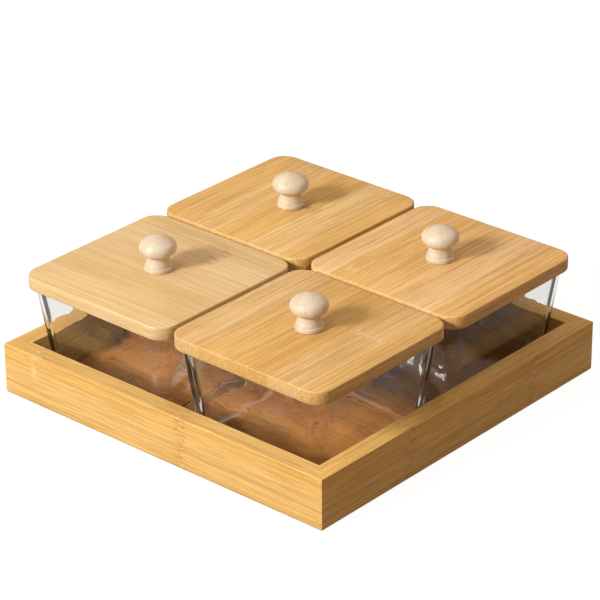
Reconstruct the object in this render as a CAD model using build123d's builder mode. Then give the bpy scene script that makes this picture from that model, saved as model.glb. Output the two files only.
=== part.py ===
"""Chip and dip server: a bamboo tray with four square glass bowls under bamboo lids with turned knobs.

Millimetres. +Z is up and the origin is the bottom centre of the tray. -Y is the front. The bowls, and the
lids that lie on them, stand on a two by two grid, and each of the four places has the same set of pieces.
"""

from build123d import *

import math
import os

# Tray
TRAY_SIDE = 270.0
TRAY_HEIGHT = 36.0
RAIL_THICKNESS = 13.0
RAIL_EDGE_RADIUS = 0.7
RAIL_FOOT_RADIUS = 2.5
PANEL_BOTTOM = 3.0
PANEL_THICKNESS = 5.0
GROOVE_DEPTH = 5.0
PANEL_EXPANSION_GAP = 0.25
SPLINE_THICKNESS = 3.0
SPLINE_WIDTH = 10.0
SPLINE_HEIGHT = 18.0
SPLINE_BOTTOM = 12.0

# Bowls
PLACE_PITCH = 127.5
BOWL_HEIGHT = 68.0
BOWL_RIM_SIDE = 116.0
BOWL_FOOT_SIDE = 100.0
BOWL_RIM_CORNER = 10.0
BOWL_FOOT_CORNER = 8.0
BOWL_FOOT_RADIUS = 3.5
BOWL_FLOOR_THICKNESS = 6.0
BOWL_MOUTH_SIDE = 108.4
BOWL_FLOOR_SIDE = 92.2
BOWL_INNER_CORNER = 6.5
BOWL_FLOOR_RADIUS = 5.0
BOWL_LIP_RADIUS = 1.1

# Lids
LID_SIDE = 124.0
LID_THICKNESS = 9.0
LID_CORNER = 12.0
LID_EDGE_RADIUS = 1.0
PLUG_SIDE = 102.0
PLUG_THICKNESS = 4.0
PLUG_CORNER = 6.0
PLUG_EDGE_RADIUS = 0.8

# Knobs, with heights above the top of the lid
KNOB_HEIGHT = 23.0
KNOB_HEAD_RADIUS = 12.2
KNOB_WIDEST_HEIGHT = 15.7
KNOB_SHOULDER_RADIUS = 5.0
KNOB_UNDERCUT_ANGLE = 45.0
KNOB_NECK_RADIUS = 7.1
KNOB_NECK_HEIGHT = 9.4
KNOB_COVE_RADIUS = 12.0
KNOB_SKIRT_RADIUS = 8.3
KNOB_SKIRT_HEIGHT = 4.4
KNOB_BASE_RADIUS = 9.2
KNOB_BASE_HEIGHT = 3.4
KNOB_BASE_ROUND = 0.8

# Screws that hold the knobs
SCREW_LENGTH = 25.0
SCREW_SHANK_RADIUS = 2.0
SCREW_HEAD_RADIUS = 3.8
SCREW_POINT_LENGTH = 3.0
SCREW_CLEARANCE_RADIUS = 2.2
SCREW_RECESS_WIDTH = 0.9
SCREW_RECESS_LENGTH = 4.4
SCREW_RECESS_DEPTH = 1.5
PILOT_SPARE_DEPTH = 0.5

# Worked out
GROOVE_SIDE = TRAY_SIDE - 2 * RAIL_THICKNESS + 2 * GROOVE_DEPTH
PANEL_SIDE = GROOVE_SIDE - 2 * PANEL_EXPANSION_GAP
PANEL_TOP = PANEL_BOTTOM + PANEL_THICKNESS
BOWL_TOP = PANEL_TOP + BOWL_HEIGHT
BOWL_FLOOR = PANEL_TOP + BOWL_FLOOR_THICKNESS
LID_TOP = BOWL_TOP + LID_THICKNESS
PLUG_BOTTOM = BOWL_TOP - PLUG_THICKNESS

RAIL_TURNS = {"front": 0, "right": 90, "back": 180, "left": 270}
PLACES = {
    "front_left": (-PLACE_PITCH / 2, -PLACE_PITCH / 2),
    "front_right": (PLACE_PITCH / 2, -PLACE_PITCH / 2),
    "back_left": (-PLACE_PITCH / 2, PLACE_PITCH / 2),
    "back_right": (PLACE_PITCH / 2, PLACE_PITCH / 2),
}


def spline_plan():
    """The plan of the four loose tongues, each lying square across one mitre of the tray."""
    mitre_middle = (TRAY_SIDE - RAIL_THICKNESS) / 2 * math.sqrt(2)
    with BuildSketch(Plane.XY.offset(SPLINE_BOTTOM)) as plan:
        with PolarLocations(mitre_middle, 4, start_angle=45):
            Rectangle(SPLINE_THICKNESS, SPLINE_WIDTH)
    return plan.sketch


def tray_rail(turn):
    """One side of the tray, grooved for the base and mitred at both ends. Unturned it is the front rail."""
    tray = Plane.XY.rotated((0, 0, turn))
    across = Plane(origin=tray.origin, x_dir=tray.y_dir, z_dir=tray.x_dir)
    with BuildPart() as rail:
        with BuildSketch(across) as section:
            with Locations((-(TRAY_SIDE - RAIL_THICKNESS) / 2, TRAY_HEIGHT / 2)):
                Rectangle(RAIL_THICKNESS, TRAY_HEIGHT)
            fillet(section.vertices().group_by(Axis.Y)[-1], RAIL_EDGE_RADIUS)
            outer_foot = section.vertices().group_by(Axis.Y)[0].sort_by(Axis.X)[0]
            fillet(outer_foot, RAIL_FOOT_RADIUS)
        extrude(amount=TRAY_SIDE / 2, both=True)
        for inward in (tray.x_dir - tray.y_dir, -tray.x_dir - tray.y_dir):
            split(bisect_by=Plane(origin=tray.origin, z_dir=inward), keep=Keep.TOP)
        with BuildSketch(Plane.XY.offset(PANEL_BOTTOM)):
            Rectangle(GROOVE_SIDE, GROOVE_SIDE)
        extrude(amount=PANEL_THICKNESS, mode=Mode.SUBTRACT)
        extrude(spline_plan(), amount=SPLINE_HEIGHT, mode=Mode.SUBTRACT)
    return rail.part


def tray_base_panel():
    """The floor of the tray, held in the groove of the rails with a little room to swell."""
    with BuildPart() as panel:
        with BuildSketch(Plane.XY.offset(PANEL_BOTTOM)):
            Rectangle(PANEL_SIDE, PANEL_SIDE)
        extrude(amount=PANEL_THICKNESS)
    return panel.part


def tray_corner_splines():
    """Four hidden tongues glued across the mitres."""
    with BuildPart() as splines:
        extrude(spline_plan(), amount=SPLINE_HEIGHT)
    return splines.part


def glass_bowl(x, y):
    """A square bowl that widens from foot to rim, with a thick floor and a rounded lip."""
    with BuildPart() as bowl:
        with BuildSketch(Plane((x, y, PANEL_TOP))):
            RectangleRounded(BOWL_FOOT_SIDE, BOWL_FOOT_SIDE, BOWL_FOOT_CORNER)
        with BuildSketch(Plane((x, y, BOWL_TOP))):
            RectangleRounded(BOWL_RIM_SIDE, BOWL_RIM_SIDE, BOWL_RIM_CORNER)
        loft(ruled=True)
        fillet(bowl.edges().group_by(Axis.Z)[0], BOWL_FOOT_RADIUS)
        with BuildSketch(Plane((x, y, BOWL_FLOOR))):
            RectangleRounded(BOWL_FLOOR_SIDE, BOWL_FLOOR_SIDE, BOWL_INNER_CORNER)
        with BuildSketch(Plane((x, y, BOWL_TOP))):
            RectangleRounded(BOWL_MOUTH_SIDE, BOWL_MOUTH_SIDE, BOWL_INNER_CORNER)
        loft(ruled=True, mode=Mode.SUBTRACT)
        floor_face = bowl.faces().filter_by(Axis.Z).sort_by(Axis.Z)[1]
        fillet(floor_face.edges(), BOWL_FLOOR_RADIUS)
        fillet(bowl.edges().group_by(Axis.Z)[-1], BOWL_LIP_RADIUS)
    return bowl.part


def lid_board(x, y):
    """The lid that lies on the rim of a bowl."""
    with BuildPart() as board:
        with BuildSketch(Plane((x, y, BOWL_TOP))):
            RectangleRounded(LID_SIDE, LID_SIDE, LID_CORNER)
        extrude(amount=LID_THICKNESS)
        rims = board.edges().group_by(Axis.Z)
        fillet(rims[0] + rims[-1], LID_EDGE_RADIUS)
        with Locations((x, y, LID_TOP)):
            Hole(SCREW_CLEARANCE_RADIUS)
    return board.part


def lid_plug(x, y):
    """The smaller board glued under the lid. It stands in the mouth of the bowl and keeps the lid in place."""
    with BuildPart() as plug:
        with BuildSketch(Plane((x, y, PLUG_BOTTOM))):
            RectangleRounded(PLUG_SIDE, PLUG_SIDE, PLUG_CORNER)
        extrude(amount=PLUG_THICKNESS)
        fillet(plug.edges().group_by(Axis.Z)[0], PLUG_EDGE_RADIUS)
        with Locations(Plane((x, y, PLUG_BOTTOM), z_dir=(0, 0, -1))):
            CounterSinkHole(SCREW_CLEARANCE_RADIUS, SCREW_HEAD_RADIUS, counter_sink_angle=90)
    return plug.part


def upright_section(x, y, z):
    """A vertical plane through a knob's or a screw's axis, with its own y along +Z."""
    return Plane(origin=(x, y, z), x_dir=(1, 0, 0), z_dir=(0, -1, 0))


def knob(x, y):
    """A turned knob: a base ring, a coved skirt, and a head like a flattened ball, drilled for its screw."""
    pilot_depth = PLUG_BOTTOM + SCREW_LENGTH - LID_TOP + PILOT_SPARE_DEPTH
    crown_rise = KNOB_HEIGHT - KNOB_WIDEST_HEIGHT
    shoulder_x = KNOB_HEAD_RADIUS - KNOB_SHOULDER_RADIUS
    crown_radius = (shoulder_x**2 + crown_rise**2 - KNOB_SHOULDER_RADIUS**2) / (
        2 * (crown_rise - KNOB_SHOULDER_RADIUS)
    )
    crown_angle = math.degrees(math.atan2(crown_radius - crown_rise, shoulder_x))
    with BuildPart() as turning:
        with BuildSketch(upright_section(x, y, LID_TOP)):
            with BuildLine():
                base = Polyline(
                    (0, pilot_depth),
                    (SCREW_SHANK_RADIUS, pilot_depth),
                    (SCREW_SHANK_RADIUS, 0),
                    (KNOB_BASE_RADIUS, 0),
                    (KNOB_BASE_RADIUS, KNOB_BASE_HEIGHT),
                    (KNOB_SKIRT_RADIUS, KNOB_BASE_HEIGHT),
                    (KNOB_SKIRT_RADIUS, KNOB_SKIRT_HEIGHT),
                )
                neck = (KNOB_NECK_RADIUS, KNOB_NECK_HEIGHT)
                RadiusArc(base @ 1, neck, KNOB_COVE_RADIUS)
                shoulder = CenterArc(
                    (shoulder_x, KNOB_WIDEST_HEIGHT),
                    KNOB_SHOULDER_RADIUS,
                    -KNOB_UNDERCUT_ANGLE,
                    KNOB_UNDERCUT_ANGLE + crown_angle,
                )
                TangentArc(shoulder @ 0, neck, tangent=-(shoulder % 0))
                TangentArc(shoulder @ 1, (0, KNOB_HEIGHT), tangent=shoulder % 1)
                Line((0, KNOB_HEIGHT), base @ 0)
            make_face()
        revolve(axis=Axis((x, y, 0), (0, 0, 1)))
        circles = turning.edges().filter_by(GeomType.CIRCLE)
        base_rims = circles.filter_by(lambda edge: math.isclose(edge.radius, KNOB_BASE_RADIUS))
        fillet(base_rims, KNOB_BASE_ROUND)
    return turning.part


def knob_screw(x, y):
    """The countersunk wood screw that comes up through plug and lid into the knob."""
    with BuildPart() as screw:
        with BuildSketch(upright_section(x, y, PLUG_BOTTOM)):
            with BuildLine():
                Polyline(
                    (0, 0),
                    (SCREW_HEAD_RADIUS, 0),
                    (SCREW_SHANK_RADIUS, SCREW_HEAD_RADIUS - SCREW_SHANK_RADIUS),
                    (SCREW_SHANK_RADIUS, SCREW_LENGTH - SCREW_POINT_LENGTH),
                    (0, SCREW_LENGTH),
                    close=True,
                )
            make_face()
        revolve(axis=Axis((x, y, 0), (0, 0, 1)))
        with BuildSketch(Plane((x, y, PLUG_BOTTOM))):
            Rectangle(SCREW_RECESS_LENGTH, SCREW_RECESS_WIDTH)
            Rectangle(SCREW_RECESS_WIDTH, SCREW_RECESS_LENGTH)
        extrude(amount=SCREW_RECESS_DEPTH, mode=Mode.SUBTRACT)
    return screw.part


def save(part, name):
    part.label = name
    export_step(part, f"parts/{name}.step")


os.makedirs("parts", exist_ok=True)

for side, turn in RAIL_TURNS.items():
    save(tray_rail(turn), f"tray_{side}_rail")
save(tray_base_panel(), "tray_base_panel")
save(tray_corner_splines(), "tray_corner_splines")

for place, (x, y) in PLACES.items():
    save(glass_bowl(x, y), f"glass_bowl_{place}")
    save(lid_board(x, y), f"lid_board_{place}")
    save(lid_plug(x, y), f"lid_plug_{place}")
    save(knob(x, y), f"knob_{place}")
    save(knob_screw(x, y), f"knob_screw_{place}")
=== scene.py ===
"""Chip and dip server: finishes the tray, and makes the bowls, lids, knobs and screws that stand in it.

The boards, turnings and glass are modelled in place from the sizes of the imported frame. Everything is in metres,
+Z is up, -Y is the front of the tray and +X its right side.
"""

import math

import bmesh
import bpy
from bpy.props import FloatProperty, FloatVectorProperty, IntProperty, PointerProperty
from mathutils import Matrix, Vector


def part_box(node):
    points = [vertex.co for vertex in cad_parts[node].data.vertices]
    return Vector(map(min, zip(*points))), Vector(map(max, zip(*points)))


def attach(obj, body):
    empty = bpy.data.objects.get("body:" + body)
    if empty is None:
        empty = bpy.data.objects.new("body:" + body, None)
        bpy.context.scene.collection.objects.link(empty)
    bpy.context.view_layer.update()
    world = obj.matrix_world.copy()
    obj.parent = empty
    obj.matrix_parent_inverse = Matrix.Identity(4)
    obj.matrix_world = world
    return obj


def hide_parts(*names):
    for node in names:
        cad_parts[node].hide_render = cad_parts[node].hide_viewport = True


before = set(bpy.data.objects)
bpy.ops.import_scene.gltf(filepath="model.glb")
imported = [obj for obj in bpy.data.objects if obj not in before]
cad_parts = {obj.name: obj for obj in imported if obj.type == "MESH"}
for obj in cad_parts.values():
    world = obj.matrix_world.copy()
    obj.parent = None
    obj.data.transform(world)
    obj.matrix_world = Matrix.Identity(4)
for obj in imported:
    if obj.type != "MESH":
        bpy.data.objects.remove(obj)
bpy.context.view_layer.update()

bl_info = {
    "name": "Chip and dip server",
    "version": (1, 0, 0),
    "blender": (4, 5, 0),
    "location": "View3D > Sidebar > Server",
    "description": "Makes the bowls, lids, knobs and screws of a chip and dip server and finishes its tray",
    "category": "Add Mesh",
}

PLACES = ("front_left", "front_right", "back_left", "back_right")
MM = 0.001
CLOSE = 1e-5
DOUBLES = 1e-6
QUARTER = math.pi / 2
WHITE = (1.0, 1.0, 1.0, 1.0)


# ---------------- sizes and colours


def length_of(name, description, metres):
    return FloatProperty(name=name, description=description, default=metres, unit="LENGTH")


def number_of(name, description, default):
    return FloatProperty(name=name, description=description, default=default)


def count_of(name, description, default, least):
    return IntProperty(name=name, description=description, default=default, min=least)


def angle_of(name, description, degrees):
    return FloatProperty(name=name, description=description, default=math.radians(degrees), subtype="ANGLE")


def colour_of(name, description, default):
    return FloatVectorProperty(name=name, description=description, default=default, subtype="COLOR")


class BambooFinish(bpy.types.PropertyGroup):
    strip_width: length_of("Strip width", "Width of the glued strips of a lid", 0.0275)
    rail_strip_width: length_of("Rail strip width", "Height of the glued strips of a rail", 0.021)
    panel_strip_width: length_of("Panel strip width", "Width of the strips of the base panel", 0.0143)
    tongue_strip_width: length_of("Tongue strip width", "Width of the strips of the hidden tongues", 0.012)
    lid_colour: colour_of("Lid colour", "Lacquered bamboo of the lids", (0.66, 0.413, 0.149))
    tray_colour: colour_of("Tray colour", "Lacquered bamboo of the tray", (0.70, 0.435, 0.128))
    # The base panel's colour is partly its own and partly painted shade: it is darker than the tray to stand in for
    # the shade under the lids and bowls.
    panel_colour_and_shade: colour_of("Panel colour", "Darker bamboo of the base panel", (0.50, 0.175, 0.034))
    streak_colour: colour_of("Streak colour", "Dark fibres along the grain", (0.33, 0.14, 0.032))
    # The panel's streaks are darkened with it, so they also carry painted shade.
    panel_streak_colour_and_shade: colour_of("Panel streaks", "Dark fibres of the base panel", (0.1485, 0.063, 0.0144))


class KnobSizes(bpy.types.PropertyGroup):
    sides: count_of("Sides", "Points round the knob", 64, 16)
    base_radius: length_of("Base radius", "Radius of the foot ring", 0.0092)
    base_height: length_of("Base height", "Height of the foot ring", 0.0034)
    base_round: length_of("Base rounding", "Edge radius of the ring", 0.0008)
    skirt_radius: length_of("Skirt radius", "Radius above the ring", 0.0083)
    skirt_height: length_of("Skirt height", "Top of the straight skirt", 0.0044)
    cove_radius: length_of("Cove radius", "Hollow between skirt and neck", 0.012)
    neck_radius: length_of("Neck radius", "Thinnest part", 0.0071)
    neck_height: length_of("Neck height", "Height of the thinnest part", 0.0094)
    widest_height: length_of("Widest height", "Height of the widest part", 0.0157)
    shoulder_radius: length_of("Shoulder radius", "Round of the head's side", 0.005)
    undercut_angle: angle_of("Undercut angle", "Turn of the shoulder below the widest part", 45)
    underside_radius: length_of("Underside radius", "Round under the head", 0.0159)
    pilot_radius: length_of("Pilot radius", "Hole for the screw", 0.002)
    pilot_depth: length_of("Pilot depth", "Depth of the screw hole", 0.0125)
    colour: colour_of("Colour", "Pale turned wood", (0.60, 0.51, 0.395))


class BoardSizes(bpy.types.PropertyGroup):
    corner_segments: count_of("Corner segments", "Steps round each corner", 12, 2)
    lid_corner: length_of("Lid corner", "Corner radius of a lid", 0.012)
    lid_edge: length_of("Lid edge", "Rounding of a lid's edges", 0.001)
    plug_corner: length_of("Plug corner", "Corner radius of a plug", 0.006)
    plug_edge: length_of("Plug edge", "Rounding of a plug's lower edge", 0.0008)
    hole_radius: length_of("Hole radius", "Screw hole through a lid", 0.0022)
    countersink: length_of("Countersink", "Depth of the countersink", 0.0016)


class BowlSizes(bpy.types.PropertyGroup):
    foot_side: length_of("Foot side", "Outer side at the foot", 0.100)
    rim_side: length_of("Rim side", "Outer side at the rim", 0.116)
    corner: length_of("Corner", "Outer corner radius at the foot", 0.008)
    foot_round: length_of("Foot rounding", "Round between foot and wall", 0.0035)
    kick: length_of("Kick", "Hollow under the foot", 0.0006)
    floor_side: length_of("Floor side", "Inner side at the floor", 0.0922)
    mouth_side: length_of("Mouth side", "Inner side at the rim", 0.1084)
    floor_thickness: length_of("Floor thickness", "Glass under the floor", 0.006)
    floor_round: length_of("Floor rounding", "Round between floor and wall", 0.005)
    wall_rings: count_of("Wall rings", "Rows of faces up each wall", 16, 4)
    wave_height: length_of("Wave height", "Unevenness of the pressed walls", 0.0007)
    wave_size: length_of("Wave size", "Length of the waves in the glass", 0.022)
    tint: colour_of("Tint", "Colour of the clear glass", (0.975, 0.985, 0.98))


class ScrewSizes(bpy.types.PropertyGroup):
    sides: count_of("Sides", "Points round the screw", 32, 8)
    head_radius: length_of("Head radius", "Countersunk head", 0.0038)
    head_rim: length_of("Head rim", "Straight rim of the head", 0.0002)
    core_radius: length_of("Core radius", "Shank under the thread", 0.0014)
    crest_radius: length_of("Crest radius", "Outside of the thread", 0.00195)
    point_length: length_of("Point length", "Length of the gimlet point", 0.003)
    pitch: length_of("Pitch", "Rise of one turn of the thread", 0.0014)
    turn_steps: count_of("Turn steps", "Points to a turn of the thread", 24, 8)
    recess_width: length_of("Recess width", "Width of a cross slot", 0.0009)
    recess_length: length_of("Recess length", "Length of a cross slot", 0.0044)
    recess_depth: length_of("Recess depth", "Depth of the cross recess", 0.0015)
    recess_taper: number_of("Recess taper", "Share of its width at the bottom", 0.62)
    colour: colour_of("Colour", "Zinc plated steel", (0.62, 0.62, 0.63))


class StageSizes(bpy.types.PropertyGroup):
    azimuth: angle_of("Azimuth", "Camera round the tray", 41.437)
    elevation: angle_of("Elevation", "Camera above the table", 26.589)
    roll: angle_of("Roll", "Tilt of the camera", -0.5055)
    distance: length_of("Distance", "Camera to its aim", 1.8863)
    lens: number_of("Lens", "Focal length in millimetres", 173.47)
    sensor: number_of("Sensor", "Width of the camera's sensor in millimetres", 36.0)
    aim: FloatVectorProperty(
        name="Aim", description="Point looked at", default=(-0.0157, 0.0178, 0.0474), unit="LENGTH"
    )
    key_azimuth: angle_of("Key azimuth", "Main light round the tray", -13)
    key_elevation: angle_of("Key elevation", "Main light above the table", 29)
    key_distance: length_of("Key distance", "Main light to the tray", 4.0)
    key_side: length_of("Key side", "Side of the main light", 0.8)
    key_power: number_of("Key power", "Main light in watts", 203.0)
    fill_azimuth: angle_of("Fill azimuth", "Overhead light round the tray", -60)
    fill_elevation: angle_of("Fill elevation", "Overhead light above the table", 66)
    fill_side: length_of("Fill side", "Side of the overhead light", 2.6)
    fill_power: number_of("Fill power", "Overhead light in watts", 16.0)
    room_high: colour_of("Room overhead", "Light of the room from above", (0.68, 0.60, 0.50))
    room_low: colour_of("Room walls", "Light of the room from its sides", (0.18, 0.09, 0.045))
    backdrop: colour_of("Backdrop", "Light of the white wall behind the tray", (1.2, 0.94, 0.70))
    backdrop_share: number_of("Backdrop share", "How much the wall behind gives", 0.95)
    mirrored: colour_of("Mirrored room", "The room in reflections", (0.38, 0.26, 0.18))
    floor_side: length_of("Floor side", "Side of the floor", 12.0)
    floor_drop: length_of("Floor drop", "Gap between the tray's foot and the floor", 0.0002)
    paper_seen: number_of("Paper seen", "How white the floor shows", 0.95)
    paper_mirrored: number_of("Paper mirrored", "The floor in reflections", 0.08)
    bounce: colour_of("Bounce", "Warm light given back by the table", (0.11, 0.045, 0.02))


class ServerSettings(bpy.types.PropertyGroup):
    bamboo: PointerProperty(type=BambooFinish)
    boards: PointerProperty(type=BoardSizes)
    knob: PointerProperty(type=KnobSizes)
    bowl: PointerProperty(type=BowlSizes)
    screw: PointerProperty(type=ScrewSizes)
    stage: PointerProperty(type=StageSizes)


# ---------------- hand tools


def middle(node):
    """The middle of a node's box."""
    low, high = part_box(node)
    return (low + high) / 2


def foot_of(low, high):
    """The middle of the underside of a box."""
    return Vector(((low.x + high.x) / 2, (low.y + high.y) / 2, low.z))


def start_clean():
    """Leaves edit mode and deselects everything, so that the next operator acts on the new piece alone."""
    if bpy.context.object and bpy.context.object.mode != "OBJECT":
        bpy.ops.object.mode_set(mode="OBJECT")
    bpy.ops.object.select_all(action="DESELECT")


def take(piece):
    """Makes one piece the active and only selected object."""
    start_clean()
    bpy.context.view_layer.objects.active = piece
    piece.select_set(True)


def pick(kind, test):
    """In edit mode, selects the edges or faces whose middle and element pass the test."""
    bpy.ops.mesh.select_mode(type=kind)
    bpy.ops.mesh.select_all(action="DESELECT")
    piece = bpy.context.object
    mesh = bmesh.from_edit_mesh(piece.data)
    for element in mesh.edges if kind == "EDGE" else mesh.faces:
        points = [piece.matrix_world @ corner.co for corner in element.verts]
        if test(sum(points, Vector()) / len(points), element):
            element.select_set(True)
    bmesh.update_edit_mesh(piece.data)


def finish_mesh(piece, name, smooth_angle=math.radians(32)):
    """Faces out, its place in its mesh, smooth where it is round."""
    piece.name = name
    piece.data.name = name
    take(piece)
    bpy.ops.object.mode_set(mode="EDIT")
    bpy.ops.mesh.select_all(action="SELECT")
    bpy.ops.mesh.remove_doubles(threshold=DOUBLES)
    bpy.ops.mesh.normals_make_consistent(inside=False)
    bpy.ops.object.mode_set(mode="OBJECT")
    bpy.ops.object.transform_apply(location=True, rotation=True, scale=True)
    bpy.ops.object.shade_smooth_by_angle(angle=smooth_angle)
    return piece


def copies_for_places(piece, kind):
    """The finished front left piece, copied to the other three places, each with its own mesh."""
    made = {"front_left": piece}
    start = middle(f"{kind}_front_left")
    for place in PLACES[1:]:
        take(piece)
        bpy.ops.object.duplicate()
        copy = bpy.context.object
        copy.location = middle(f"{kind}_{place}") - start
        copy.name = f"made_{kind}_{place}"
        copy.data.name = copy.name
        bpy.ops.object.transform_apply(location=True, rotation=False, scale=False)
        made[place] = copy
    return made


def give(piece, material):
    """Makes the material the piece's only one."""
    piece.data.materials.clear()
    piece.data.materials.append(material)


def hand_over(piece, node, body, material):
    """Gives a made piece its finish and its body, and hides the CAD node that it stands for."""
    give(piece, material)
    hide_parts(node)
    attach(piece, body)


def grow_rings(centre, size, rings):
    """Extrudes the selected loop ring by ring. Each ring is (half width, height), the loop starting at size."""
    height = centre.z
    for half, level in rings:
        bpy.ops.mesh.extrude_region_move(TRANSFORM_OT_translate={"value": (0, 0, level - height)})
        bpy.ops.transform.resize(value=(half / size, half / size, 1), center_override=(centre.x, centre.y, level))
        size, height = half, level


def close_end():
    """Draws the selected loop together to a point."""
    bpy.ops.mesh.merge(type="CENTER")


def close_flat():
    """Fills the open ends with flat faces."""
    pick("EDGE", lambda point, edge: edge.is_boundary)
    bpy.ops.mesh.edge_face_add()


def turn_outwards():
    """Turns every face of the shape in edit mode outwards."""
    bpy.ops.mesh.select_all(action="SELECT")
    bpy.ops.mesh.normals_make_consistent(inside=False)


def arc(centre_x, centre_z, radius, start, end, steps):
    """Points round an arc, its two ends included. Angles are from the outward direction, upward."""
    turns = (start + (end - start) * step / steps for step in range(steps + 1))
    return [(centre_x + radius * math.cos(turn), centre_z + radius * math.sin(turn)) for turn in turns]


def bowed(start, end, radius, steps):
    """Points on the arc of that radius from start to end, its middle of curvature to the right of the way."""
    (x0, z0), (x1, z1) = start, end
    chord = math.hypot(x1 - x0, z1 - z0)
    drop = math.sqrt(radius**2 - chord**2 / 4)
    centre_x = (x0 + x1) / 2 + drop * (z1 - z0) / chord
    centre_z = (z0 + z1) / 2 - drop * (x1 - x0) / chord
    first = math.atan2(z0 - centre_z, x0 - centre_x)
    last = math.atan2(z1 - centre_z, x1 - centre_x)
    if abs(last - first) > math.pi:
        last += math.tau if last < first else -math.tau
    return arc(centre_x, centre_z, radius, first, last, steps)


# ---------------- materials


class Nodes:
    """A node tree, with short words for the nodes that the finishes and the room use."""

    def __init__(self, tree):
        self.tree = tree

    def add(self, kind, **settings):
        node = self.tree.nodes.new(kind)
        for key, value in settings.items():
            setattr(node, key, value)
        return node

    def link(self, source, socket):
        self.tree.links.new(source, socket)

    def feed(self, socket, value):
        """A number, colour or another node's output into a socket."""
        if isinstance(value, bpy.types.NodeSocket):
            self.link(value, socket)
        else:
            socket.default_value = value

    def maths(self, operation, *values, clamp=False):
        node = self.add("ShaderNodeMath", operation=operation, use_clamp=clamp)
        for socket, value in zip(node.inputs, values):
            self.feed(socket, value)
        return node.outputs[0]

    def mix(self, factor, first, second, blend="MIX"):
        node = self.add("ShaderNodeMix", data_type="RGBA", blend_type=blend)
        self.feed(node.inputs[0], factor)
        self.feed(node.inputs[6], first)
        self.feed(node.inputs[7], second)
        return node.outputs[2]

    def spread(self, value, low, high, to_low=0.0, to_high=1.0):
        """value from low..high to to_low..to_high, smoothly and clamped."""
        node = self.add("ShaderNodeMapRange", interpolation_type="SMOOTHSTEP")
        for socket, number in zip(node.inputs, (value, low, high, to_low, to_high)):
            self.feed(socket, number)
        return node.outputs[0]

    def vector(self, x, y, z):
        node = self.add("ShaderNodeCombineXYZ")
        for socket, value in zip(node.inputs, (x, y, z)):
            self.feed(socket, value)
        return node.outputs[0]

    def ways(self, place):
        """The three parts of a place."""
        parts = self.add("ShaderNodeSeparateXYZ")
        self.link(place, parts.inputs[0])
        return parts.outputs

    def noise(self, vector, detail=2.0, roughness=0.5, distortion=0.0):
        node = self.add("ShaderNodeTexNoise")
        self.link(vector, node.inputs["Vector"])
        node.inputs["Scale"].default_value = 1.0
        node.inputs["Detail"].default_value = detail
        node.inputs["Roughness"].default_value = roughness
        node.inputs["Distortion"].default_value = distortion
        return node.outputs["Fac"]


class Finish(Nodes):
    """A material with one surface shader, and the nodes that every finish needs."""

    def __init__(self, name):
        self.material = bpy.data.materials.new(name)
        self.material.use_nodes = True
        super().__init__(self.material.node_tree)
        self.tree.nodes.clear()
        self.output = self.add("ShaderNodeOutputMaterial")
        self.surface = self.add("ShaderNodeBsdfPrincipled")
        self.link(self.surface.outputs["BSDF"], self.output.inputs["Surface"])

    def set(self, values):
        """Feeds the shader's inputs, given by their names."""
        for name, value in values.items():
            self.feed(self.surface.inputs[name], value)

    def place(self):
        """The place on the piece."""
        return self.add("ShaderNodeTexCoord").outputs["Object"]

    def scaled(self, *times):
        """The place on the piece, counted so many times to the metre in x, y and z."""
        return self.vector(*(self.maths("MULTIPLY", way, often) for way, often in zip(self.ways(self.place()), times)))

    def relief(self, height, strength, depth):
        """Raises the surface by the height, depth metres at most."""
        bump = self.add("ShaderNodeBump")
        self.feed(bump.inputs["Height"], height)
        bump.inputs["Strength"].default_value = strength
        bump.inputs["Distance"].default_value = depth
        self.set({"Normal": bump.outputs["Normal"]})


def colour4(colour, lift=1.0):
    """Three channels as the four numbers of a socket, made lighter or darker by lift."""
    return (*(channel * lift for channel in colour), 1.0)


def lifted(colour, lifts):
    """A colour with each channel made lighter or darker by its own lift."""
    return [channel * lift for channel, lift in zip(colour, lifts)]


# Length and width of the marks that run along the grain of bamboo, in metres.
WANDER, CLOUD, BROAD = (0.09, 0.05), (0.07, 0.03), (0.16, 0.0026)
FIBRES, FINE, DARK_LINES = (0.055, 0.00070), (0.018, 0.00028), (0.11, 0.00065)
RAGGED, DASHES = (0.02, 0.0016), (0.0065, 0.0008)
JOINT = 0.35 * MM


def streaks(nodes, ways, size, seed, detail=2.0, roughness=0.5):
    """Noise drawn out along the grain, in streaks of about that size."""
    (along, across, depth), (length, width) = ways, size
    place = nodes.vector(
        nodes.maths("MULTIPLY_ADD", along, 1 / length, seed),
        nodes.maths("MULTIPLY", across, 1 / width),
        nodes.maths("MULTIPLY", depth, 1 / width),
    )
    return nodes.noise(place, detail, roughness)


def strip_shares(nodes, strip, shares):
    """A share for each strip, chosen by its number."""
    ramp = nodes.add("ShaderNodeValToRGB")
    ramp.color_ramp.interpolation = "CONSTANT"
    stops = ramp.color_ramp.elements
    for number, share in enumerate(shares):
        stop = stops[number] if number < 2 else stops.new(number / len(shares))
        stop.position = number / len(shares)
        stop.color = colour4((share, share, share))
    nodes.link(nodes.maths("MULTIPLY_ADD", strip, 1 / len(shares), 0.5 / len(shares)), ramp.inputs["Fac"])
    return ramp.outputs["Color"]


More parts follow.
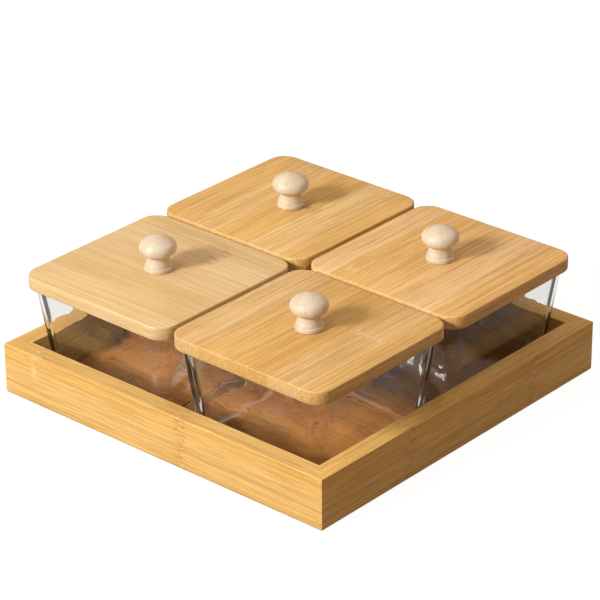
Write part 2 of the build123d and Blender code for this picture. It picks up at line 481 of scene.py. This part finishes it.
def bamboo(name, centre, colour, streak_colour, strip_width, grain="X", upright=False, seed=0.0, strip_shift=0.0,
           contrast=1.0, creams=(0.3, 0.5, 0.2, 0.45, 0.6, 0.25, 0.5, 0.35), knots=(), bands=0.0):
    """Lacquered bamboo: glued strips, each with its own tone, fibres along the grain, and growth nodes.

    centre is the board's middle, grain the axis that its fibres follow, and upright says that the strips are
    stacked in height. creams are the shares of pale wood in the strips, the fifth being the one over the middle.
    knots are (along, across, width, darkness) of growth nodes, from the middle of the board. bands is how much
    darker the strips with little pale wood are than the others.
    """
    nodes = Finish(name)
    board = nodes.add("ShaderNodeMapping", vector_type="TEXTURE")
    board.inputs["Location"].default_value = centre
    board.inputs["Rotation"].default_value = (0, 0, QUARTER if grain == "Y" else 0)
    nodes.link(nodes.place(), board.inputs["Vector"])
    along, across, depth = nodes.ways(board.outputs["Vector"])
    if upright:
        across, depth = depth, across

    # Strips: each has its own share of pale wood and its own run of fibres.
    in_strips = nodes.maths("MULTIPLY_ADD", across, 1 / strip_width, strip_shift + len(creams) / 2)
    strip = nodes.maths("FLOOR", in_strips)
    dice = nodes.add("ShaderNodeTexWhiteNoise", noise_dimensions="1D")
    nodes.link(nodes.maths("ADD", strip, seed * 13.7 + 0.5), dice.inputs["W"])
    own_run = nodes.maths("MULTIPLY_ADD", dice.outputs["Value"], 40.0, seed * 3.1)
    cream = strip_shares(nodes, strip, creams)
    to_joint = nodes.maths("MULTIPLY", nodes.maths("PINGPONG", nodes.maths("FRACT", in_strips), 0.5), strip_width)
    joint = nodes.spread(to_joint, 0.0, JOINT, 1.0, 0.0)

    # Fibres: they wander a little across the strip as they run.
    ways = (along, across, depth)
    wander = nodes.maths("MULTIPLY", streaks(nodes, ways, WANDER, own_run), 4 * MM)
    bent = (along, nodes.maths("ADD", across, wander), depth)
    broad = streaks(nodes, bent, BROAD, own_run)
    fibres = streaks(nodes, bent, FIBRES, own_run, 2.0, 0.55)
    fine = streaks(nodes, bent, FINE, own_run, 2.0, 0.6)
    lines = streaks(nodes, bent, DARK_LINES, nodes.maths("ADD", own_run, 7.7), 1.0, 0.4)
    cloud = streaks(nodes, bent, CLOUD, own_run)

    tone = nodes.spread(cloud, 0.33, 0.67, -0.12 * contrast, 0.12 * contrast)
    for part, weight in ((broad, 0.20), (fibres, 0.46), (fine, 0.30)):
        swing = weight * contrast
        tone = nodes.maths("ADD", tone, nodes.spread(part, 0.33, 0.67, -swing, swing))
    if bands:
        tone = nodes.maths("ADD", tone, nodes.spread(cream, 0.0, 1.0, -bands, bands))
    yellow = colour4(lifted(colour, (0.975, 0.94, 0.80)))
    ivory = colour4(lifted(colour, (1.05, 1.15, 1.55)))
    own = nodes.mix(cream, yellow, ivory)
    pale = nodes.mix(1.0, own, (1.07, 1.08, 1.12, 1.0), "MULTIPLY")
    deep = nodes.mix(1.0, own, (0.88, 0.86, 0.80, 1.0), "MULTIPLY")
    deep = nodes.mix(0.30, deep, colour4(streak_colour, 1.2))
    base = nodes.mix(nodes.spread(tone, -0.5, 0.5), deep, pale)
    dark_line = nodes.spread(lines, 0.58, 0.70, 0.0, 0.5 * contrast)
    base = nodes.mix(dark_line, base, colour4(streak_colour, 1.25))
    base = nodes.mix(nodes.maths("MULTIPLY", joint, 0.35), base, colour4(streak_colour))

    # Growth nodes: a ragged band across the strip, of brown and pale dashes.
    height = nodes.maths("MULTIPLY_ADD", fine, 0.5, nodes.maths("MULTIPLY", fibres, 0.5))
    for spot, side, width, dark in knots:
        ragged = nodes.maths("MULTIPLY_ADD", streaks(nodes, ways, RAGGED, 3.3), 12 * MM, -6 * MM)
        away = nodes.maths("ABSOLUTE", nodes.maths("ADD", nodes.maths("ADD", along, -spot), ragged))
        aside = nodes.maths("ABSOLUTE", nodes.maths("ADD", across, -side))
        band = nodes.spread(away, 1.2 * MM, 7 * MM, 1.0, 0.0)
        here = nodes.maths("MULTIPLY", band, nodes.spread(aside, width * 0.46, width * 0.5, 1.0, 0.0))
        dashes = streaks(nodes, ways, DASHES, 5.1, 1.0, 0.4)
        brown = nodes.maths("MULTIPLY", here, nodes.spread(dashes, 0.50, 0.62, 0.0, 0.8 * dark))
        light = nodes.maths("MULTIPLY", here, nodes.spread(dashes, 0.52, 0.36, 0.0, 0.9 * (1 - 0.6 * dark)))
        base = nodes.mix(nodes.maths("MULTIPLY", here, 0.28 * dark), base, colour4(streak_colour, 1.6))
        base = nodes.mix(brown, base, colour4(streak_colour, 1.15))
        base = nodes.mix(light, base, colour4(lifted(colour, (1.12, 1.28, 1.9))))
        height = nodes.maths("ADD", height, nodes.maths("MULTIPLY", brown, -0.8))

    nodes.relief(height, 0.35, 0.12 * MM)
    nodes.set({
        "Base Color": base,
        "Roughness": nodes.spread(fibres, 0.3, 0.7, 0.50, 0.38),
        "Specular IOR Level": 0.42,
    })
    return nodes.material


def knob_wood(name, colour):
    """Pale close-grained wood, turned: faint upright fibres, small flecks and lathe rings."""
    nodes = Finish(name)
    growth = nodes.noise(nodes.scaled(230.0, 90.0, 28.0), 3.0, 0.6, 0.4)
    fibres = nodes.noise(nodes.scaled(1500.0, 1500.0, 130.0), 2.0, 0.6)
    flecks = nodes.noise(nodes.scaled(1100.0, 1100.0, 420.0), 1.0, 0.5)
    tone = nodes.maths("MULTIPLY_ADD", growth, 0.65, nodes.maths("MULTIPLY", fibres, 0.35))
    warm = colour4(lifted(colour, (0.93, 0.86, 0.74)))
    pale = colour4(lifted(colour, (1.03, 1.06, 1.12)))
    base = nodes.mix(nodes.spread(tone, 0.36, 0.64), warm, pale)
    base = nodes.mix(nodes.spread(flecks, 0.66, 0.76, 0.0, 0.35), base, (0.50, 0.30, 0.14, 1.0))
    ring_step = 0.55 * MM
    rings = nodes.maths("SINE", nodes.maths("MULTIPLY", nodes.ways(nodes.place())["Z"], math.tau / ring_step))
    nodes.relief(nodes.maths("MULTIPLY_ADD", rings, 0.22, fibres), 0.30, 0.08 * MM)
    nodes.set({
        "Base Color": base,
        "Roughness": nodes.spread(fibres, 0.3, 0.7, 0.42, 0.56),
        "Subsurface Weight": 0.06,
        "Subsurface Radius": (1.6 * MM, 0.9 * MM, 0.4 * MM),
        "Subsurface Scale": 1.0,
    })
    return nodes.material


def clear_glass(name, tint):
    """Pressed clear glass with faint ripples.

    It lets lamps through, so that the tray under it is lit, and it lets go of light that stays trapped in a wall.
    """
    nodes = Finish(name)
    ripple = nodes.noise(nodes.scaled(60.0, 60.0, 95.0), 0.0, 0.4, 0.2)
    nodes.relief(ripple, 0.35, 0.8 * MM)
    nodes.set({
        "Base Color": colour4(tint),
        "Roughness": nodes.spread(ripple, 0.3, 0.8, 0.0, 0.02),
        "Transmission Weight": 1.0,
        "IOR": 1.50,
    })
    clear = nodes.add("ShaderNodeBsdfTransparent")
    clear.inputs["Color"].default_value = colour4(tint, 0.90)
    path = nodes.add("ShaderNodeLightPath").outputs
    trapped = nodes.maths("GREATER_THAN", path["Glossy Depth"], 1.5)
    blend = nodes.add("ShaderNodeMixShader")
    nodes.link(nodes.maths("MAXIMUM", path["Is Shadow Ray"], trapped), blend.inputs["Fac"])
    nodes.link(nodes.surface.outputs["BSDF"], blend.inputs[1])
    nodes.link(clear.outputs["BSDF"], blend.inputs[2])
    nodes.link(blend.outputs[0], nodes.output.inputs["Surface"])
    return nodes.material


def plated_steel(name, colour):
    """Zinc plated steel: slightly mottled, with turning marks round the screw."""
    nodes = Finish(name)
    mottle = nodes.noise(nodes.scaled(900.0, 900.0, 2600.0), 3.0, 0.6)
    nodes.set({
        "Base Color": nodes.mix(nodes.spread(mottle, 0.3, 0.7), colour4(colour, 0.82), colour4(colour, 1.1)),
        "Roughness": nodes.spread(mottle, 0.3, 0.7, 0.26, 0.42),
        "Metallic": 1.0,
    })
    return nodes.material


# ---------------- pieces


def drilled_board(low, high, corner, segments, hole_radius):
    """A square board with round corners and a hole in its middle, left in edit mode."""
    centre = (low + high) / 2
    start_clean()
    bpy.ops.mesh.primitive_plane_add(size=high.x - low.x, location=(centre.x, centre.y, low.z))
    bpy.ops.object.mode_set(mode="EDIT")
    bpy.ops.mesh.bevel(offset=corner, segments=segments, affect="VERTICES")
    bpy.ops.mesh.delete(type="ONLY_FACE")
    around = 4 * (segments + 1)
    bpy.ops.mesh.primitive_circle_add(vertices=around, radius=hole_radius, location=(centre.x, centre.y, low.z))
    bpy.ops.mesh.select_all(action="SELECT")
    bpy.ops.mesh.bridge_edge_loops()
    bpy.ops.mesh.select_all(action="SELECT")
    bpy.ops.mesh.extrude_region_move(TRANSFORM_OT_translate={"value": (0, 0, high.z - low.z)})
    turn_outwards()
    return bpy.context.object


RAIL_LOOKS = {
    "front": {"grain": "X", "seed": 1.3, "knots": ((0.020, 0.0, 0.040, 0.75), (-0.108, 0.010, 0.020, 0.3))},
    "right": {"grain": "Y", "seed": 2.9, "knots": ((-0.052, 0.0, 0.040, 0.6), (0.071, 0.0, 0.040, 0.6))},
    "back": {"grain": "X", "seed": 4.1, "knots": ((-0.038, 0.0, 0.040, 0.9),)},
    "left": {"grain": "Y", "seed": 5.7, "knots": ((0.033, 0.0, 0.040, 0.9),)},
}
PANEL_LOOK = {
    "seed": 7.9, "contrast": 4.0, "bands": 0.6, "creams": (0.9, 0.1, 0.7, 0.0, 1.0, 0.2, 0.6, 0.0),
    "knots": ((-0.06, -0.05, 0.0255, 0.8), (0.045, 0.05, 0.0255, 0.8)),
}
# lifts make a lid's own colour from the lids' common one.
LID_LOOKS = {
    "front_left": {
        "grain": "X", "seed": 11.3, "strip_shift": 0.35, "contrast": 0.36, "lifts": (1.0, 1.15, 1.48),
        "creams": (0.3, 0.4, 0.5, 0.35, 0.45, 0.6, 0.4, 0.3), "knots": ((0.018, 0.036, 0.024, 0.7),),
    },
    "front_right": {
        "grain": "Y", "seed": 12.9, "strip_shift": 0.738, "contrast": 1.2, "lifts": (0.93, 0.93, 0.88),
        "creams": (0.3, 0.3, 0.3, 0.75, 0.12, 0.28, 0.95, 0.5),
        "knots": ((0.016, -0.036, 0.030, 0.15), (0.027, 0.060, 0.010, 0.1)),
    },
    "back_left": {
        "grain": "Y", "seed": 14.2, "strip_shift": 0.618, "contrast": 0.95, "lifts": (0.97, 0.99, 0.93),
        "creams": (0.4, 0.4, 0.25, 0.8, 0.2, 0.6, 0.3, 0.5),
        "knots": ((0.054, -0.030, 0.025, 0.3), (0.005, -0.014, 0.016, 1.0), (0.049, 0.025, 0.012, 0.3)),
    },
    "back_right": {
        "grain": "Y", "seed": 16.7, "strip_shift": 0.55, "contrast": 1.1, "lifts": (0.99, 1.0, 1.08),
        "creams": (0.4, 0.6, 0.2, 0.7, 0.3, 0.1, 0.8, 0.4), "knots": ((-0.047, 0.030, 0.026, 0.3),),
    },
}


class TrayFinish(bpy.types.Operator):
    """Finish the rails, the base panel and the hidden tongues of the tray in bamboo"""

    bl_idname = "dip_server.finish_tray"
    bl_label = "Finish the tray"

    def execute(self, context):
        finish = context.scene.dip_server.bamboo
        for side, look in RAIL_LOOKS.items():
            node = f"tray_{side}_rail"
            give(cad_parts[node], bamboo(
                f"bamboo_{side}_rail", middle(node), finish.tray_colour, finish.streak_colour, finish.rail_strip_width,
                upright=True, strip_shift=0.62, contrast=0.85, **look,
            ))
        # The base panel's darker colours carry painted shade from under the lids and bowls.
        give(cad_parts["tray_base_panel"], bamboo(
            "bamboo_panel", middle("tray_base_panel"), finish.panel_colour_and_shade, finish.panel_streak_colour_and_shade,
            finish.panel_strip_width, **PANEL_LOOK,
        ))
        give(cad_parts["tray_corner_splines"], bamboo(
            "bamboo_tongues", (0.0, 0.0, 0.0), finish.tray_colour, finish.streak_colour, finish.tongue_strip_width,
            seed=9.1,
        ))
        return {"FINISHED"}


class LidBoards(bpy.types.Operator):
    """Model the four lid boards, drilled for their screws and eased along their edges"""

    bl_idname = "dip_server.lid_boards"
    bl_label = "Lid boards"

    def execute(self, context):
        sizes, finish = context.scene.dip_server.boards, context.scene.dip_server.bamboo
        low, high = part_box("lid_board_front_left")
        board = drilled_board(low, high, sizes.lid_corner, sizes.corner_segments, sizes.hole_radius)
        centre = (low + high) / 2

        def on_outer_rims(point, edge):
            level = min(abs(point.z - low.z), abs(point.z - high.z)) < CLOSE
            outside = math.hypot(point.x - centre.x, point.y - centre.y) > (high.x - low.x) / 3
            turned = {round(face.normal.z, 2) for face in edge.link_faces}
            return level and outside and len(turned) == 2

        pick("EDGE", on_outer_rims)
        bpy.ops.mesh.bevel(offset=sizes.lid_edge, segments=4, affect="EDGES")
        boards = copies_for_places(finish_mesh(board, "made_lid_board_front_left"), "lid_board")
        for place, board in boards.items():
            look = dict(LID_LOOKS[place])
            colour = lifted(finish.lid_colour, look.pop("lifts"))
            node = f"lid_board_{place}"
            wood = bamboo(
                f"bamboo_lid_{place}", middle(node), colour, finish.streak_colour, finish.strip_width, **look
            )
            hand_over(board, node, f"lid_{place}", wood)
        return {"FINISHED"}


class LidPlugs(bpy.types.Operator):
    """Model the four locating plugs under the lids, countersunk for their screws"""

    bl_idname = "dip_server.lid_plugs"
    bl_label = "Lid plugs"

    def execute(self, context):
        sizes, finish = context.scene.dip_server.boards, context.scene.dip_server.bamboo
        low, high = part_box("lid_plug_front_left")
        plug = drilled_board(low, high, sizes.plug_corner, sizes.corner_segments, sizes.hole_radius)
        centre = (low + high) / 2

        def at_the_bottom(point, edge):
            turned = {round(face.normal.z, 2) for face in edge.link_faces}
            return abs(point.z - low.z) < CLOSE and len(turned) == 2

        def from_axis(point):
            return math.hypot(point.x - centre.x, point.y - centre.y)

        pick("EDGE", lambda point, edge: at_the_bottom(point, edge) and from_axis(point) < 2 * sizes.hole_radius)
        bpy.ops.mesh.bevel(offset=sizes.countersink, segments=1, affect="EDGES")
        pick("EDGE", lambda point, edge: at_the_bottom(point, edge) and from_axis(point) > (high.x - low.x) / 3)
        bpy.ops.mesh.bevel(offset=sizes.plug_edge, segments=3, affect="EDGES")
        plugs = copies_for_places(finish_mesh(plug, "made_lid_plug_front_left"), "lid_plug")
        for number, (place, plug) in enumerate(plugs.items()):
            node = f"lid_plug_{place}"
            wood = bamboo(
                f"bamboo_plug_{place}", middle(node), finish.lid_colour, finish.streak_colour, finish.strip_width,
                grain="Y", seed=21.3 + number, contrast=0.8,
            )
            hand_over(plug, node, f"lid_{place}", wood)
        return {"FINISHED"}


class Knobs(bpy.types.Operator):
    """Turn the four knobs, ring by ring from the pilot hole to the crown"""

    bl_idname = "dip_server.knobs"
    bl_label = "Knobs"

    def execute(self, context):
        sizes = context.scene.dip_server.knob
        low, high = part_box("knob_front_left")
        centre = foot_of(low, high)
        head_radius, height = (high.x - low.x) / 2, high.z - low.z

        rise = height - sizes.widest_height
        shoulder_x = head_radius - sizes.shoulder_radius
        crown_radius = (shoulder_x**2 + rise**2 - sizes.shoulder_radius**2) / (2 * (rise - sizes.shoulder_radius))
        crown_angle, near_the_top = math.atan2(crown_radius - rise, shoulder_x), math.radians(88.4)
        shoulder = arc(shoulder_x, sizes.widest_height, sizes.shoulder_radius, -sizes.undercut_angle, crown_angle, 12)
        skirt, neck = (sizes.skirt_radius, sizes.skirt_height), (sizes.neck_radius, sizes.neck_height)
        soft = sizes.base_round
        outline = [
            (sizes.pilot_radius, 0.0),
            *arc(sizes.base_radius - soft, soft, soft, -QUARTER, 0, 4),
            *arc(sizes.base_radius - soft, sizes.base_height - soft, soft, 0, QUARTER, 4),
            (sizes.skirt_radius, sizes.base_height),
            *bowed(skirt, neck, sizes.cove_radius, 6),
            *bowed(neck, shoulder[0], sizes.underside_radius, 4)[1:],
            *shoulder[1:],
            *arc(0, height - crown_radius, crown_radius, crown_angle, near_the_top, 10)[1:],
        ]

        start_clean()
        depth = centre.z + sizes.pilot_depth
        bpy.ops.mesh.primitive_circle_add(
            vertices=sizes.sides, radius=sizes.pilot_radius, location=(centre.x, centre.y, depth)
        )
        bpy.ops.object.mode_set(mode="EDIT")
        rings = [(radius, centre.z + level) for radius, level in outline]
        grow_rings(Vector((centre.x, centre.y, depth)), sizes.pilot_radius, rings)
        close_end()
        close_flat()
        knob = finish_mesh(bpy.context.object, "made_knob_front_left", math.radians(40))
        wood = knob_wood("knob_wood", sizes.colour)
        for place, knob in copies_for_places(knob, "knob").items():
            hand_over(knob, f"knob_{place}", f"lid_{place}", wood)
        return {"FINISHED"}


class Screws(bpy.types.Operator):
    """Model the four countersunk screws with their threads and cross recesses"""

    bl_idname = "dip_server.screws"
    bl_label = "Screws"

    def execute(self, context):
        sizes = context.scene.dip_server.screw
        low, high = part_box("knob_screw_front_left")
        foot = foot_of(low, high)
        length = high.z - low.z
        cone = sizes.head_rim + sizes.head_radius - sizes.core_radius
        straight = length - sizes.point_length
        outline = (
            (sizes.head_radius, sizes.head_rim),
            (sizes.core_radius, cone),
            (sizes.core_radius, straight),
            (sizes.core_radius * 0.55, straight + sizes.point_length * 0.6),
            (sizes.core_radius * 0.08, length),
        )
        start_clean()
        bpy.ops.mesh.primitive_circle_add(vertices=sizes.sides, radius=sizes.head_radius, location=foot)
        bpy.ops.object.mode_set(mode="EDIT")
        grow_rings(foot, sizes.head_radius, [(radius, foot.z + level) for radius, level in outline])
        close_end()
        close_flat()
        turn_outwards()
        screw = bpy.context.object

        # The cross recess is cut by a plus-shaped punch that narrows upwards.
        start_clean()
        bpy.ops.mesh.primitive_cube_add(size=sizes.recess_width, location=foot)
        punch = bpy.context.object
        bpy.ops.object.mode_set(mode="EDIT")
        arm = (sizes.recess_length - sizes.recess_width) / 2
        reach = sizes.recess_width * 0.49
        for way in (Vector((1, 0, 0)), Vector((-1, 0, 0)), Vector((0, 1, 0)), Vector((0, -1, 0))):
            pick("FACE", lambda point, face: face.normal.dot(way) > 0.9 and (point - foot).dot(way) > reach)
            bpy.ops.mesh.extrude_region_move(TRANSFORM_OT_translate={"value": way * arm})
        pick("FACE", lambda point, face: face.normal.z > 0.9)
        bpy.ops.transform.translate(value=(0, 0, sizes.recess_depth - sizes.recess_width / 2))
        taper = sizes.recess_taper
        bpy.ops.transform.resize(value=(taper, taper, 1), center_override=foot)
        take(screw)
        cut = screw.modifiers.new("Recess", "BOOLEAN")
        cut.object, cut.operation, cut.solver = punch, "DIFFERENCE", "EXACT"
        bpy.ops.object.modifier_apply(modifier="Recess")
        bpy.data.objects.remove(punch)

        # The thread is a three-sided bead wound up the shank.
        bead = (sizes.crest_radius - sizes.core_radius) / 1.5
        start_clean()
        bpy.ops.mesh.primitive_circle_add(vertices=3, radius=bead, location=(foot.x, foot.y, foot.z + cone))
        thread = bpy.context.object
        bpy.ops.object.mode_set(mode="EDIT")
        bpy.ops.mesh.select_all(action="SELECT")
        for axis, turn in (("X", QUARTER), ("Y", -QUARTER)):
            bpy.ops.transform.rotate(value=turn, orient_axis=axis, center_override=(foot.x, foot.y, foot.z + cone))
        bpy.ops.transform.translate(value=(sizes.crest_radius - bead, 0, bead + sizes.pitch * 0.5))
        bpy.ops.object.mode_set(mode="OBJECT")
        wind = thread.modifiers.new("Wind", "SCREW")
        wind.screw_offset = sizes.pitch
        wind.steps = wind.render_steps = sizes.turn_steps
        wind.iterations = int((straight - cone - sizes.pitch) / sizes.pitch)
        bpy.ops.object.modifier_apply(modifier="Wind")
        bpy.ops.object.mode_set(mode="EDIT")
        close_flat()
        turn_outwards()
        bpy.ops.object.mode_set(mode="OBJECT")
        screw.select_set(True)
        bpy.context.view_layer.objects.active = screw
        bpy.ops.object.join()
        screw = finish_mesh(screw, "made_knob_screw_front_left", math.radians(30))
        steel = plated_steel("zinc_plated_steel", sizes.colour)
        for place, screw in copies_for_places(screw, "knob_screw").items():
            hand_over(screw, f"knob_screw_{place}", f"lid_{place}", steel)
        return {"FINISHED"}


class GlassBowls(bpy.types.Operator):
    """Model the four pressed glass bowls, foot to lip to floor, with uneven walls"""

    bl_idname = "dip_server.glass_bowls"
    bl_label = "Glass bowls"

    def execute(self, context):
        sizes = context.scene.dip_server.bowl
        glass = clear_glass("pressed_glass", sizes.tint)
        for place in PLACES:
            node = f"glass_bowl_{place}"
            hand_over(self.bowl(sizes, node), node, f"bowl_{place}", glass)
        return {"FINISHED"}

    def rings(self, sizes, low, high):
        """(half side, height) of every ring: under the foot, up the wall, over the lip, down and over the floor."""
        foot, rim = sizes.foot_side / 2, sizes.rim_side / 2
        mouth, floor_half = sizes.mouth_side / 2, sizes.floor_side / 2
        soft, floor = sizes.foot_round, low.z + sizes.floor_thickness
        lip = (rim - mouth) / 2
        lean = (rim - foot) / (high.z - low.z)
        inner_lean = (mouth - floor_half) / (high.z - floor)
        steps = sizes.wall_rings
        under = [
            (foot - inwards * MM, low.z + share * sizes.kick)
            for inwards, share in ((24, 1.0), (17, 0.6), (11, 0.2), (6, 0.0))
        ]
        turn_up = arc(foot + lean * soft - soft, low.z + soft, soft, -QUARTER, 0, 5)
        wall_top = high.z - lip
        outside = [
            (foot + lean * (level - low.z), level)
            for level in (low.z + soft + (wall_top - low.z - soft) * step / steps for step in range(1, steps + 1))
        ]
        over = arc(rim - lean * lip - lip, high.z - lip, lip, 0, math.pi, 8)[1:]
        floor_soft = sizes.floor_round
        inside = [
            (floor_half + inner_lean * (level - floor), level)
            for level in (
                wall_top + (floor + floor_soft - wall_top) * step / steps for step in range(1, steps + 1)
            )
        ]
        corner = floor_half + inner_lean * floor_soft - floor_soft
        turn_in = arc(corner, floor + floor_soft, floor_soft, 0, -QUARTER, 6)[1:]
        across = [(corner * share, floor) for share in (0.86, 0.7, 0.54, 0.38, 0.22, 0.08)]
        return under + turn_up + outside + over + inside + turn_in + across

    def bowl(self, sizes, node):
        """One bowl in its place, with the waves that its place in the glass gives it."""
        low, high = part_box(node)
        centre = foot_of(low, high) + Vector((0, 0, sizes.kick))
        start_clean()
        bpy.ops.mesh.primitive_plane_add(size=sizes.foot_side, location=centre)
        bpy.ops.object.mode_set(mode="EDIT")
        bpy.ops.mesh.bevel(offset=sizes.corner, segments=8, affect="VERTICES")
        pick("EDGE", lambda point, edge: edge.calc_length() > sizes.foot_side / 2)
        bpy.ops.mesh.subdivide(number_cuts=12)
        bpy.ops.mesh.select_all(action="SELECT")
        bpy.ops.mesh.delete(type="ONLY_FACE")
        bpy.ops.mesh.select_all(action="SELECT")
        smallest = 4 * MM
        share = smallest / (sizes.foot_side / 2)
        bpy.ops.transform.resize(value=(share, share, 1), center_override=centre)
        start = [(half, centre.z) for half in (12 * MM, 19 * MM)]
        grow_rings(centre, smallest, start + self.rings(sizes, low, high))
        close_end()
        pick("EDGE", lambda point, edge: edge.is_boundary)
        close_end()
        bowl = finish_mesh(bpy.context.object, f"made_{node}", math.pi)

        # The walls are uneven, but the foot and the lip stay true.
        walls = bowl.vertex_groups.new(name="walls")
        for point in bowl.data.vertices:
            height = (point.co.z - low.z) / (high.z - low.z)
            walls.add([point.index], max(0.0, min(1.0, 5 * height, 7 * (0.96 - height))), "REPLACE")
        waves = bpy.data.textures.new(f"waves_{node}", "CLOUDS")
        waves.noise_scale, waves.noise_depth = sizes.wave_size, 1
        uneven = bowl.modifiers.new("Uneven", "DISPLACE")
        uneven.texture, uneven.vertex_group = waves, "walls"
        uneven.strength, uneven.mid_level = sizes.wave_height, 0.5
        smooth = bowl.modifiers.new("Smooth", "SUBSURF")
        smooth.levels = smooth.render_levels = 1
        take(bowl)
        bpy.ops.object.modifier_apply(modifier="Uneven")
        bpy.ops.object.modifier_apply(modifier="Smooth")
        return bowl


class Stage(bpy.types.Operator):
    """Set the floor, the soft key light, the bright surround and the camera"""

    bl_idname = "dip_server.stage"
    bl_label = "Stage"

    def execute(self, context):
        sizes = context.scene.dip_server.stage
        self.floor(sizes)
        warm = (1.0, 0.985, 0.96)
        self.soft_box("key_light", sizes.key_azimuth, sizes.key_elevation, sizes.key_distance,
                      sizes.key_side, sizes.key_power, warm)
        self.soft_box("overhead_light", sizes.fill_azimuth, sizes.fill_elevation, sizes.key_distance,
                      sizes.fill_side, sizes.fill_power, warm)
        self.surround(sizes)
        self.camera(sizes)
        context.scene.view_settings.view_transform = "Standard"
        return {"FINISHED"}

    def way(self, azimuth, elevation):
        """The direction from the tray towards a place round and above it."""
        flat = math.cos(elevation)
        return Vector((math.sin(azimuth) * flat, -math.cos(azimuth) * flat, math.sin(elevation)))

    def floor(self, sizes):
        """A pale floor that shows white and gives a little warm light back to the tray."""
        start_clean()
        bpy.ops.mesh.primitive_plane_add(size=sizes.floor_side, location=(0, 0, -sizes.floor_drop))
        floor = bpy.context.object
        floor.name = "stage_floor"
        bpy.ops.object.transform_apply()
        nodes = Finish("stage_paper")
        path = nodes.add("ShaderNodeLightPath").outputs
        as_light = nodes.maths("MINIMUM", path["Diffuse Depth"], 1.0)
        off = nodes.maths("ABSOLUTE", nodes.maths("SUBTRACT", path["Glossy Depth"], 1.0))
        mirrored = nodes.maths("SUBTRACT", 1.0, off, clamp=True)
        seen = nodes.spread(mirrored, 0.0, 1.0, sizes.paper_seen, sizes.paper_mirrored)
        nodes.set({
            "Base Color": nodes.mix(as_light, (0.08, 0.08, 0.08, 1.0), colour4(sizes.bounce)),
            "Roughness": 0.9,
            "Specular IOR Level": 0.0,
            "Emission Color": WHITE,
            "Emission Strength": nodes.spread(as_light, 0.0, 1.0, seen, 0.0),
        })
        give(floor, nodes.material)

    def soft_box(self, name, azimuth, elevation, distance, side, power, colour):
        """A square soft light, turned to the tray."""
        way = self.way(azimuth, elevation)
        bpy.ops.object.light_add(type="AREA", location=way * distance)
        lamp = bpy.context.object
        lamp.name = name
        lamp.rotation_mode = "QUATERNION"
        lamp.rotation_quaternion = way.to_track_quat("Z", "Y")
        lamp.data.shape = "SQUARE"
        lamp.data.size = side
        lamp.data.energy = power
        lamp.data.color = colour

    def surround(self, sizes):
        """White where it is seen, dim where it is mirrored. As a light it is brightest overhead."""
        world = bpy.data.worlds.new("white_room")
        bpy.context.scene.world = world
        world.use_nodes = True
        nodes = Nodes(world.node_tree)
        path = nodes.add("ShaderNodeLightPath").outputs
        way = nodes.ways(nodes.add("ShaderNodeTexCoord").outputs["Generated"])
        as_light = nodes.mix(way["Z"], colour4(sizes.room_low), colour4(sizes.room_high))
        behind = nodes.maths("MULTIPLY", way["Y"], sizes.backdrop_share, clamp=True)
        as_light = nodes.mix(behind, as_light, colour4(sizes.backdrop))
        again = nodes.maths("GREATER_THAN", path["Glossy Depth"], 1.5)
        once = nodes.maths("SUBTRACT", nodes.maths("MINIMUM", path["Glossy Depth"], 1.0), again)
        seen = nodes.mix(once, WHITE, colour4(sizes.mirrored))
        background = nodes.tree.nodes["Background"]
        nodes.link(nodes.mix(path["Diffuse Depth"], seen, as_light), background.inputs["Color"])

    def camera(self, sizes):
        """A long lens, looking down over the front right corner."""
        back = self.way(sizes.azimuth, sizes.elevation)
        right = Vector((math.cos(sizes.azimuth), math.sin(sizes.azimuth), 0))
        up = back.cross(right)
        turned_right = right * math.cos(sizes.roll) + up * math.sin(sizes.roll)
        turned_up = up * math.cos(sizes.roll) - right * math.sin(sizes.roll)
        bpy.ops.object.camera_add()
        camera = bpy.context.object
        camera.name = "camera"
        turn = Matrix((turned_right, turned_up, back)).transposed().to_4x4()
        camera.matrix_world = Matrix.Translation(Vector(sizes.aim) + back * sizes.distance) @ turn
        camera.data.lens = sizes.lens
        camera.data.sensor_width = sizes.sensor
        bpy.context.scene.camera = camera


class ServerPanel(bpy.types.Panel):
    bl_idname = "DIPSERVER_PT_pieces"
    bl_label = "Chip and dip server"
    bl_space_type = "VIEW_3D"
    bl_region_type = "UI"
    bl_category = "Server"

    def draw(self, context):
        for operator in OPERATORS:
            self.layout.operator(operator.bl_idname)


SETTINGS = (BambooFinish, BoardSizes, KnobSizes, BowlSizes, ScrewSizes, StageSizes, ServerSettings)
OPERATORS = (TrayFinish, LidBoards, LidPlugs, Knobs, Screws, GlassBowls, Stage)


def register():
    for item in (*SETTINGS, *OPERATORS, ServerPanel):
        bpy.utils.register_class(item)
    bpy.types.Scene.dip_server = PointerProperty(type=ServerSettings)


def unregister():
    del bpy.types.Scene.dip_server
    for item in reversed((*SETTINGS, *OPERATORS, ServerPanel)):
        bpy.utils.unregister_class(item)


def main():
    register()
    bpy.ops.dip_server.finish_tray()
    bpy.ops.dip_server.lid_boards()
    bpy.ops.dip_server.lid_plugs()
    bpy.ops.dip_server.knobs()
    bpy.ops.dip_server.screws()
    bpy.ops.dip_server.glass_bowls()
    bpy.ops.dip_server.stage()
    bpy.context.view_layer.update()


if __name__ == "__main__":
    main()
